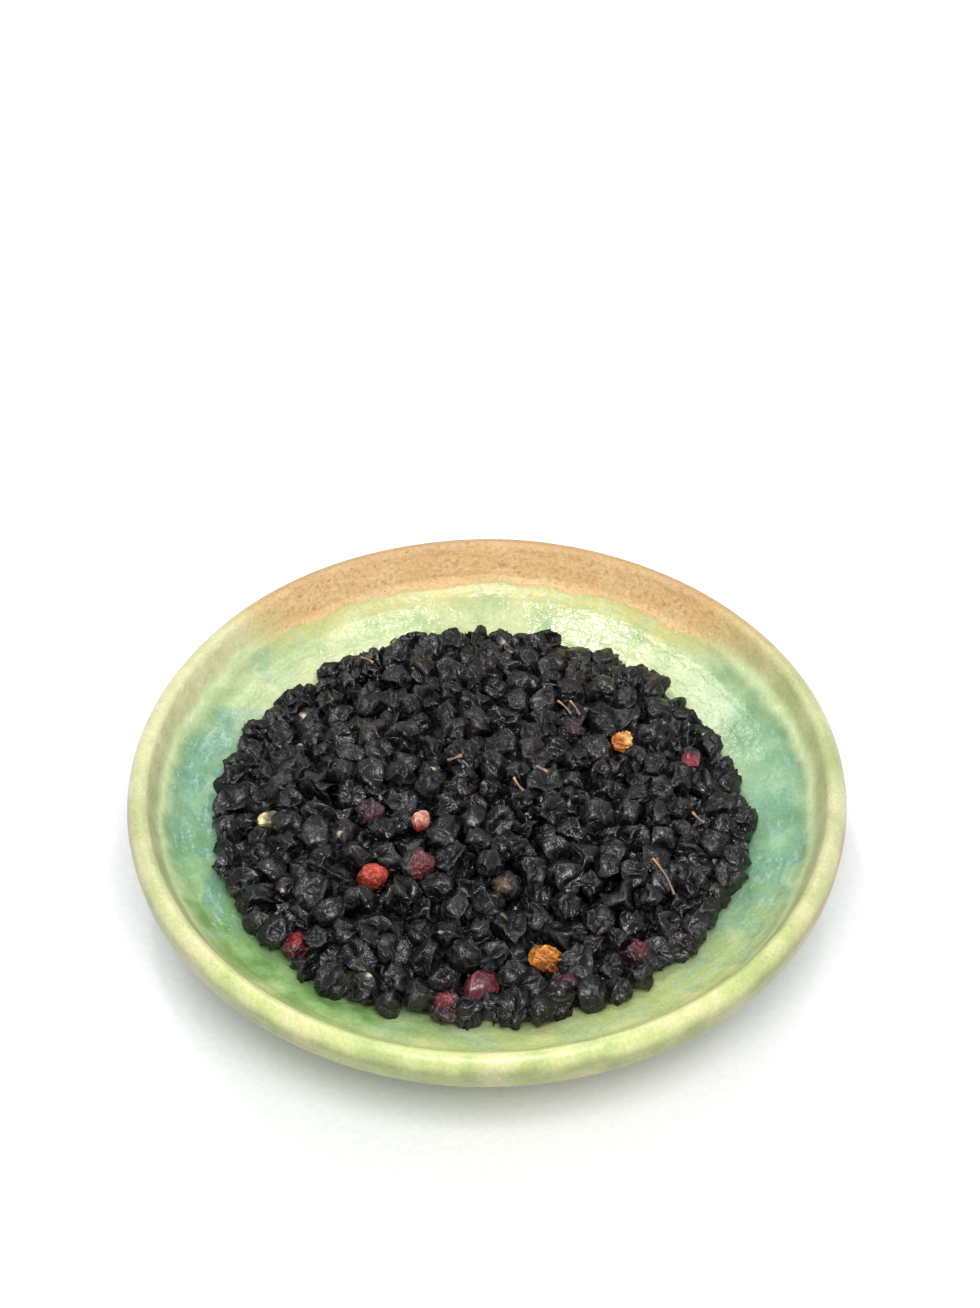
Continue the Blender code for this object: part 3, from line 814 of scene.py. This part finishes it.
def crumple(points, rng, dents, hollow, creases, crease_depth, slim=0.78, cuts=0):
    """Presses a unit ball into a dried berry, and says where its folds stand up, from 0 to 1.

    Its neighbours press it flat in some places, which are planes that cut the ball. The skin falls
    in between ridges, which are the borders of cells round random points: a few wide dents first,
    then many fine creases. A hollow of 1 would make each dent flat, and more makes it sink.
    """
    wave = points.copy()
    for scale, size in BALL_BENDS:
        wave = wave + size * np.sin(wave[:, [1, 2, 0]] * scale + rng.uniform(0, 6.28, 3))
    wave /= np.linalg.norm(wave, axis=1)[:, None]
    radius = np.ones(len(points))
    folds = np.zeros(len(points))
    if cuts > 1:
        ways = random_ways(rng, cuts)
        planes = np.minimum(rng.uniform(*FLAT_REACH, cuts) / np.maximum(wave @ ways.T, 0.05), 1.0)
        radius, second = np.partition(planes, 1, axis=1)[:, :2].T
        folds = np.where(radius < 0.98, (radius / second) ** 16, 0.0)
    for count, deep, strength in ((dents, 2 * hollow / dents, 1.0), (creases, crease_depth, 0.6)):
        angle = np.arccos(np.clip(wave @ random_ways(rng, count).T, -1, 1))
        nearest = angle.argmin(axis=1)
        first, second = np.partition(angle, 1, axis=1)[:, :2].T
        border = first / second
        sink = rng.uniform(*DENT_SINK, count)[nearest]
        radius = radius - deep * sink * (1 - border**2.4)
        folds = np.maximum(folds, strength * border**7)
    comb = np.abs(np.sin(rng.uniform(5, 9) * wave @ random_turn(rng)[0] + rng.uniform(0, 3)))
    combed = np.clip(wave @ random_turn(rng)[0] * 1.6, 0, 1)
    radius = radius + COMB_DEPTH * combed * (1 - comb)
    shape = points * radius[:, None]
    shape *= np.array([1.0, rng.uniform(slim, 1.0), rng.uniform(slim - 0.08, 0.95)])
    shape += rng.uniform(-0.14, 0.14, 3) * (shape[:, [1, 2, 0]] ** 2 - 0.3)
    return shape / np.linalg.norm(shape, axis=1).max(), folds


def thinned(points, faces, folds, triangles):
    """The same shape with fewer triangles, kept where it bends most."""
    mesh = bpy.data.meshes.new("draft")
    mesh.from_pydata(points.tolist(), [], faces.tolist())
    mesh.attributes.new("fold", "FLOAT", "POINT").data.foreach_set("value", folds.astype(np.float32))
    draft = bpy.data.objects.new("draft", mesh)
    bpy.context.scene.collection.objects.link(draft)
    draft.modifiers.new("thin", "DECIMATE").ratio = triangles / len(faces)
    done = draft.evaluated_get(bpy.context.evaluated_depsgraph_get()).to_mesh()
    co = np.empty(len(done.vertices) * 3)
    done.vertices.foreach_get("co", co)
    done.calc_loop_triangles()
    corners = np.empty(len(done.loop_triangles) * 3, np.int32)
    done.loop_triangles.foreach_get("vertices", corners)
    fold = np.empty(len(done.vertices), np.float32)
    done.attributes["fold"].data.foreach_get("value", fold)
    bpy.data.objects.remove(draft)
    bpy.data.meshes.remove(mesh)
    return co.reshape(-1, 3), corners.reshape(-1, 3), fold


def berry_shapes(rng):
    """A set of different shrunken berries: points inside a unit ball, triangles and folds."""
    points, faces = ball_points(BALL_SUBDIVISIONS)
    shapes = []
    for _ in range(SHAPES):
        dents = int(rng.integers(5, 11))
        creases = int(rng.integers(16, 40))
        hollow = rng.uniform(0.9, 2.1)
        crease_depth = rng.uniform(0.05, 0.12)
        cuts = int(rng.integers(0, 8))
        shape, folds = crumple(points, rng, dents, hollow, creases, crease_depth, cuts=cuts)
        shapes.append(thinned(shape, faces, folds, LOOSE_TRIANGLES))
    return shapes


# Berry colours, kept on the points


def tinted(fold, tint, gloss, ridge=1.5, hollow=0.6, fold_bloom_and_highlight=BLACK_FOLD_BLOOM_AND_HIGHLIGHT):
    """Linear colours for a berry's points, with its roughness as alpha: paler and greyer on its folds
    from rubbed bloom and a painted highlight, and darker in the dents with painted shade.
    """
    fold = np.clip(fold, 0, 1)[:, None]
    colour = np.full((len(fold), 4), gloss, np.float32)
    # Folds paler and greyer, rubbed bloom and painted highlight; dents darker, painted shade
    colour[:, :3] = np.array(tint[:3]) * (hollow + (ridge - hollow) * fold) + fold_bloom_and_highlight * fold**3
    return colour


def patch_colour(colour, points, way, reach, tint, soft=0.1):
    """Blends another colour over the points that face a way: reach is the cosine at the patch's edge."""
    facing = points @ way / np.maximum(np.linalg.norm(points, axis=1) * np.linalg.norm(way), 1e-6)
    share = np.clip((facing - reach) / soft + 0.5, 0, 1)[:, None]
    colour[:, :3] = colour[:, :3] * (1 - share) + np.array(tint[:3]) * share


def maybe_scar(rng, colour, points):
    """Gives some berries the pale scar where the stalk broke off."""
    if rng.uniform() < SCAR_SHARE:
        way = points[rng.integers(len(points))]
        patch_colour(colour, points, way, SCAR_REACH, rgb(SCAR_COLOUR), 0.01)


def black_tint(rng):
    """One berry's own near-black: most are neutral, and some lean to brown or to purple."""
    pick = rng.uniform()
    base = "#0D0E0E" if pick < 0.9 else "#151110" if pick < 0.96 else "#150F12"
    shade = rng.uniform(0.5, 1.3)
    return [channel * shade for channel in rgb(base)[:3]]


# Odd berries: finish, colour, second colour, the way that its patch faces and the cosine at its
# edge, roughness, dents, hollow, creases and their depth
# Paler second colours facing up, on the scarlet, crimson, garnet, plum and violet, are painted
# highlights, and the orange's darker second colour underneath is painted shade. On the mauve, maroon,
# brown and the seeds it is the berry's own colour.
ODD_LOOKS = {
    "berry_scarlet": ("red", "#7E251A", "#9E3A2A", (0.1, 0.2, 1.0), 0.5, 0.22, 14, 0.9, 110, 0.12),
    "berry_mauve": ("rosy", "#2C2424", "#552A2C", (0.8, -0.3, 0.3), 0.1, 0.14, 10, 0.9, 80, 0.12),
    "berry_crimson": ("red", "#380C11", "#68151A", (0.2, 0.1, 1.0), 0.7, 0.14, 16, 1.9, 70, 0.14),
    "berry_rose": ("rosy", "#5A2831", "#3E0C14", (0.7, 0.6, 0.1), 0.5, 0.02, 4, 0.3, 24, 0.03),
    "berry_garnet": ("red", "#260C12", "#74303A", (-0.1, 0.1, 1.0), 0.8, 0.10, 12, 1.9, 50, 0.14),
    "berry_orange": ("amber", "#AC6826", "#6E3A14", (0.1, -0.7, -0.7), 0.2, 0.16, 12, 1.7, 60, 0.13),
    "berry_plum": ("rosy", "#351A22", "#4A2831", (0.3, 0.2, 0.9), 0.6, 0.22, 7, 1.3, 30, 0.08),
    "berry_wine": ("red", "#280E14", "#461A22", (0.9, 0.1, 0.4), 0.3, 0.18, 10, 1.7, 50, 0.12),
    "berry_maroon": ("red", "#131011", "#6A182A", (0.0, -0.68, 0.74), 0.72, 0.16, 9, 1.5, 40, 0.10),
    "berry_tan": ("amber", "#CF9450", "#A85E22", (-0.8, -0.5, 0.1), 0.3, 0.2, 9, 1.6, 40, 0.12),
    "berry_brown": ("black", "#141311", "#5C4E3C", (-0.5, -0.5, 0.7), 0.88, 0.2, 6, 0.9, 30, 0.08),
    "berry_purple": ("black", "#150F12", "#3A1C26", (0.4, -0.5, 0.7), 0.6, 0.16, 8, 1.7, 40, 0.11),
    "berry_violet": ("black", "#141012", "#2C1C22", (0.4, 0.0, 0.9), 0.6, 0.16, 8, 1.7, 40, 0.11),
    "seed_pink": ("seed", "#C08474", "#84342E", (-0.2, -0.9, -0.3), 0.5, 0.18, 5, 0.4, 20, 0.03),
    "seed_olive": ("seed", "#574E34", "#CDB98A", (-1.0, 0.0, 0.2), 0.5, 0.22, 5, 0.4, 20, 0.03),
}


# Pieces


def join_berries(name, parts, material):
    """One mesh object from shapes given as points in millimetres, triangles and colours."""
    shift = np.cumsum([0] + [len(points) for points, _, _ in parts[:-1]])
    points = np.vstack([p for p, _, _ in parts])
    faces = np.vstack([f + s for (_, f, _), s in zip(parts, shift)])
    colours = np.vstack([c for _, _, c in parts])
    obj = mesh_from(name, points, faces, material)
    layer = obj.data.color_attributes.new("skin", "FLOAT_COLOR", "POINT")
    layer.data.foreach_set("color", colours.astype(np.float32).ravel())
    return obj


def node_points(node):
    """A CAD node's points in millimetres."""
    return np.array([v.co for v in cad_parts[node].data.vertices]) / MM


def node_axes(node):
    """A CAD node's centre, its longest axes as columns, and its half sizes along them, in millimetres."""
    co = node_points(node)
    centre = (co.min(axis=0) + co.max(axis=0)) / 2
    _, axes = np.linalg.eigh(np.cov((co - centre).T))
    axes = axes[:, ::-1]
    if np.linalg.det(axes) < 0:
        axes[:, 2] *= -1
    half = np.abs((co - centre) @ axes).max(axis=0)
    return centre, axes, half


def single_berry(name, rng, points, faces, look, skins):
    """The finished piece for one CAD berry, drawn to that node's own axes and size."""
    finish, colour, second, way, reach, gloss, dents, hollow, creases, crease_depth = look
    black = finish == "black"
    cuts = int(rng.integers(4, 9)) if black else 0
    shape, folds = crumple(points, rng, dents, hollow, creases, crease_depth, 0.95, cuts)
    shape, faces, folds = thinned(shape, faces, folds, SINGLE_TRIANGLES if black else ODD_TRIANGLES)
    centre, axes, half = node_axes(name)
    swell = SINGLE_SWELL if black else ODD_SWELL
    placed = centre + (shape / np.abs(shape).max(axis=0) * half * swell) @ axes.T
    tints = tinted(folds, rgb(colour), gloss, 1.35, 0.7, BLACK_FOLD_BLOOM_AND_HIGHLIGHT if black else ODD_FOLD_BLOOM_AND_HIGHLIGHT)
    # The second colour is painted light on some odd berries and their own colour on others, as listed
    # above ODD_LOOKS
    patch_colour(tints, shape, np.array(way) @ axes, reach, rgb(second), 0.4)
    maybe_scar(rng, tints, shape)
    return join_berries("dried_" + name, [(placed, faces, tints)], skins[finish])


def make_heap(rng, centres, radii, first_loose, skin):
    """The loose berries, joined sector by sector, with the ones that nothing shows in one more piece."""
    share = open_share(centres, radii)
    shapes = berry_shapes(rng)
    ball, ball_faces = ball_points(BURIED_SUBDIVISIONS)
    sectors = [[] for _ in range(SECTORS)]
    buried = []
    for i in range(first_loose, len(radii)):
        turn = random_turn(rng)
        tint = black_tint(rng)
        if share[i] > 0:
            points, faces, fold = shapes[int(rng.integers(SHAPES))]
            placed = centres[i] + BERRY_SWELL * radii[i] * points @ turn.T
            east, north, _ = centres[i] - [*HEAP_CENTRE, 0]
            sector = int((math.atan2(north, east) / (2 * math.pi) + 0.5) * SECTORS) % SECTORS
            colour = tinted(fold, tint, rng.uniform(*BLACK_GLOSS))
            maybe_scar(rng, colour, points)
            sectors[sector].append((placed, faces, colour))
        else:
            placed = centres[i] + radii[i] * ball @ turn.T
            buried.append((placed, ball_faces, tinted(np.zeros(len(ball)), tint, BURIED_GLOSS)))
    pieces = [join_berries(f"loose_berries_{i}", parts, skin) for i, parts in enumerate(sectors, 1)]
    return pieces + [join_berries("buried_berries", buried, skin)]


def make_stalk(name, rng, material):
    """A broken bit of stalk as a slightly bent, ribbed and tapering stick between its node's ends."""
    co = node_points(name)
    centre = co.mean(axis=0)
    _, axes = np.linalg.eigh(np.cov((co - centre).T))
    across, side, lengthwise = axes.T
    along = (co - centre) @ lengthwise
    start = centre + lengthwise * along.min()
    end = centre + lengthwise * along.max()
    thick = np.abs((co - centre) @ side).max()
    t = np.linspace(0, 1, STALK_RINGS)
    bow = STALK_BEND * np.linalg.norm(end - start) * rng.uniform(-0.6, 0.6)
    line = start + np.outer(t, end - start) + np.outer(np.sin(t * np.pi) * bow, side)
    turn = np.linspace(0, 2 * np.pi, STALK_SIDES, endpoint=False)
    points = []
    for i, spot in enumerate(line):
        taper = 0.4 + 0.3 * abs(2 * t[i] - 1) ** 1.5
        ribs = 1 + 0.10 * np.cos(3 * turn + 0.6 * i / STALK_RINGS) + rng.uniform(-0.05, 0.05, STALK_SIDES)
        ring = thick * taper * ribs
        points.append(spot + np.outer(ring * np.cos(turn), side) + np.outer(ring * np.sin(turn), across))
    points = np.vstack(points + [start[None], end[None]])
    start_pole = len(points) - 2
    end_pole = len(points) - 1
    last_ring = (STALK_RINGS - 1) * STALK_SIDES
    faces = []
    for j in range(STALK_SIDES):
        k = (j + 1) % STALK_SIDES
        for base in range(0, last_ring, STALK_SIDES):
            above = base + STALK_SIDES
            faces.append((base + j, base + k, above + k))
            faces.append((base + j, above + k, above + j))
        faces.append((start_pole, k, j))
        faces.append((end_pole, last_ring + j, last_ring + k))
    colour = np.ones((len(points), 4), np.float32)
    upper = 1 - t if start[2] > end[2] else t
    tip = np.concatenate([np.repeat(np.clip(upper * 3 - 1.6, 0, 1), STALK_SIDES), [0, 0]])[:, None]
    colour[:, :3] = np.array(rgb(STALK_COLOUR)[:3]) * (1 - tip) + np.array(rgb(STALK_TIP)[:3]) * tip
    piece = join_berries("dry_" + name, [(points, np.array(faces), colour)], material)
    face_outward(piece.data)
    return piece


# Stage


def make_floor():
    """Seamless matt white paper, which glows far from the dish as if lit all the way back."""
    material, tree, shader, in_mm = start_material("white_paper_sweep", Roughness=0.9)
    shader.inputs["Emission Color"].default_value = (1, 1, 1, 1)
    fibre = add(tree, "TexNoise", {"Vector": in_mm, "Scale": PAPER_FIBRES_PER_MM, "Detail": 2.0})
    colour = set_stops(add(tree, "ValToRGB", {0: fibre}), ((0.4, "#E4E4E6"), (0.6, "#E8E8EA")))
    tree.links.new(colour, shader.inputs["Base Color"])
    away = add(tree, "VectorMath", {0: in_mm}, operation="LENGTH")
    glow = {
        "Value": away,
        "From Min": SWEEP_GLOW_FROM * PER_MM,
        "From Max": SWEEP_GLOW_FULL * PER_MM,
        "To Max": SWEEP_GLOW,
    }
    tree.links.new(add(tree, "MapRange", glow), shader.inputs["Emission Strength"])
    mesh = bpy.data.meshes.new("floor")
    bm = bmesh.new()
    bmesh.ops.create_grid(bm, x_segments=2, y_segments=2, size=FLOOR_REACH)
    bm.to_mesh(mesh)
    bm.free()
    mesh.materials.append(material)
    floor = bpy.data.objects.new("floor", mesh)
    bpy.context.scene.collection.objects.link(floor)


def make_lights():
    """A pale tent, white at the horizon, lamps that the glaze mirrors and a soft light in front."""
    world = bpy.data.worlds.new("white_tent")
    world.use_nodes = True
    tree = world.node_tree
    way = add(tree, "TexCoord").node.outputs["Generated"]
    up = add(tree, "SeparateXYZ", {0: way}).node.outputs["Z"]
    stops = ((0.0, TENT_HORIZON), (0.12, TENT_HORIZON), (0.18, TENT_SIDES), (1.0, TENT_TOP))
    glow = set_stops(add(tree, "ValToRGB", {0: up}), stops)
    tree.links.new(glow, tree.nodes["Background"].inputs["Color"])
    bpy.context.scene.world = world
    for name, (place, size, watts, turn, lean) in LAMPS.items():
        light = bpy.data.lights.new(name, "AREA")
        light.shape = "RECTANGLE"
        light.size, light.size_y = size
        light.energy = watts
        lamp = bpy.data.objects.new(name, light)
        lamp.location = place
        lamp.rotation_euler = (math.radians(lean), 0, math.radians(turn))
        bpy.context.scene.collection.objects.link(lamp)


def make_camera():
    camera = bpy.data.cameras.new("camera")
    camera.lens = CAMERA_LENS
    camera.sensor_width = 36.0
    camera.clip_start = 0.01
    eye = bpy.data.objects.new("camera", camera)
    lift = math.radians(CAMERA_ELEVATION)
    aim_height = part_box("dish")[1].z - RIM_TO_AIM * MM
    away = CAMERA_DISTANCE * MM
    eye.location = (0.0, -away * math.cos(lift), aim_height + away * math.sin(lift))
    eye.rotation_euler = (math.radians(90 - CAMERA_PITCH), 0.0, math.radians(CAMERA_YAW))
    bpy.context.scene.collection.objects.link(eye)
    bpy.context.scene.camera = eye


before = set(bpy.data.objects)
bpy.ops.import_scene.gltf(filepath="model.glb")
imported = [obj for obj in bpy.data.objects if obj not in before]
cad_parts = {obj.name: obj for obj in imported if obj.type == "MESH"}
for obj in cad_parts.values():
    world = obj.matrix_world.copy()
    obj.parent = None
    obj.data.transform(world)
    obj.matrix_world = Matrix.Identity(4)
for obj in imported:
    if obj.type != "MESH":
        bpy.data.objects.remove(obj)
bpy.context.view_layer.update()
bpy.context.scene.view_settings.view_transform = "Standard"
make_camera()
make_lights()
make_floor()

skins = {
    "black": skin_material("dried_black_elderberry_skin"),
    "red": skin_material("dried_red_berry_skin"),
    "rosy": skin_material("dried_rosy_berry_skin", relief_mm=0.02, web_relief_mm=0.03),
    "amber": skin_material("dried_amber_berry_skin"),
    "seed": skin_material("seed_coat", relief_mm=0.02, web_relief_mm=0.03),
}

dish = make_dish(glaze_material())
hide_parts("dish")
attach(dish, "root")

rng = np.random.default_rng(SEED)
nodes = sorted(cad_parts)
berry_nodes = [n for n in nodes if n.startswith(("berry_", "seed_"))]
stalk_nodes = [n for n in nodes if n.startswith("stalk_")]
pinned = [node_axes(n) for n in berry_nodes]
pinned_centres = np.array([centre for centre, _, _ in pinned])
pinned_radii = np.array([half.mean() for _, _, half in pinned])
pinned_radii *= np.where([n in ODD_LOOKS for n in berry_nodes], ODD_CLEARANCE, 1.0)
centres, radii = settle_berries(rng, pinned_centres, pinned_radii)
ball, ball_faces = ball_points(BALL_SUBDIVISIONS)
for name in berry_nodes:
    plain = ("black", "#0F100F", "#151414", (1, 0, 0), 0.5, 0.14, int(rng.integers(5, 12)), 1.7, 36, 0.09)
    piece = single_berry(name, rng, ball, ball_faces, ODD_LOOKS.get(name, plain), skins)
    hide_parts(name)
    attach(piece, "root")
for piece in make_heap(rng, centres, radii, len(berry_nodes), skins["black"]):
    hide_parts("packed_berries")
    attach(piece, "root")
stalk_wood = stalk_material()
for name in stalk_nodes:
    piece = make_stalk(name, rng, stalk_wood)
    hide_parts(name)
    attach(piece, "root")
